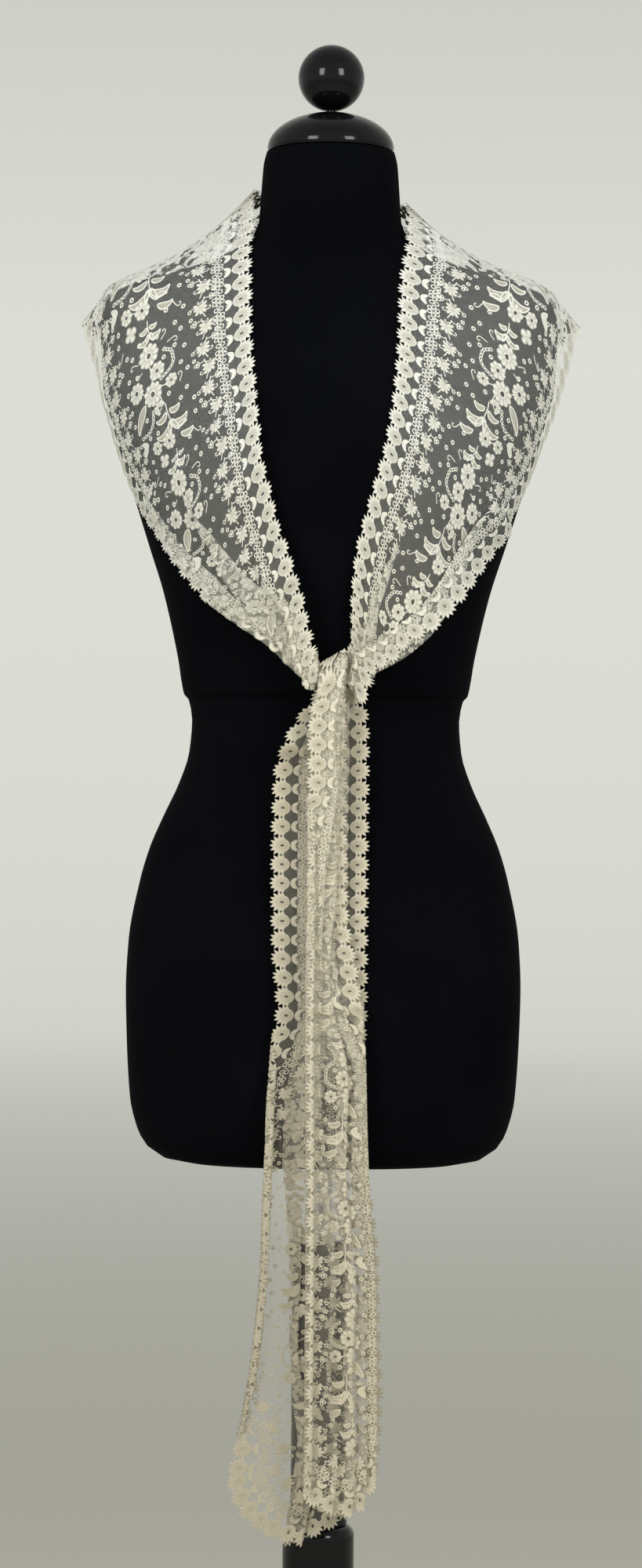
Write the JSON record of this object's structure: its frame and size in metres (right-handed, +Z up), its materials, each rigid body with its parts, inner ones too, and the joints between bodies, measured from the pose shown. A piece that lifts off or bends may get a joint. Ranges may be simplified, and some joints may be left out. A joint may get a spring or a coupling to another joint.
{
  "type": "lace shawl on a dress form",
  "caption": "Long narrow cream lace shawl with scalloped edges, worn over the shoulders of a limbless black dress form and tied once at the breast.",
  "frame": {"origin": "middle of the stand's flat underside", "axes": "+Z up along the stand, -Y towards the wearer's front, +X to the viewer's right"},
  "size_m": [0.45, 0.45, 1.6433],
  "materials": {
    "lace": "matte cotton lace on fine net",
    "jersey": "matte black knitted cover",
    "lacquer": "glossy black lacquer",
    "pole_metal": "plain steel"
  },
  "bodies": {
    "root": {"form_torso": "jersey", "form_neck_cap": "lacquer", "form_ball": "lacquer", "form_pole": "pole_metal", "form_column": "lacquer", "form_base": "lacquer", "shawl_back": "lace", "shawl_front_left": "lace", "shawl_front_right": "lace", "shawl_knot": "lace", "shawl_tail_front": "lace", "shawl_tail_rear": "lace"}
  },
  "joints": []
}
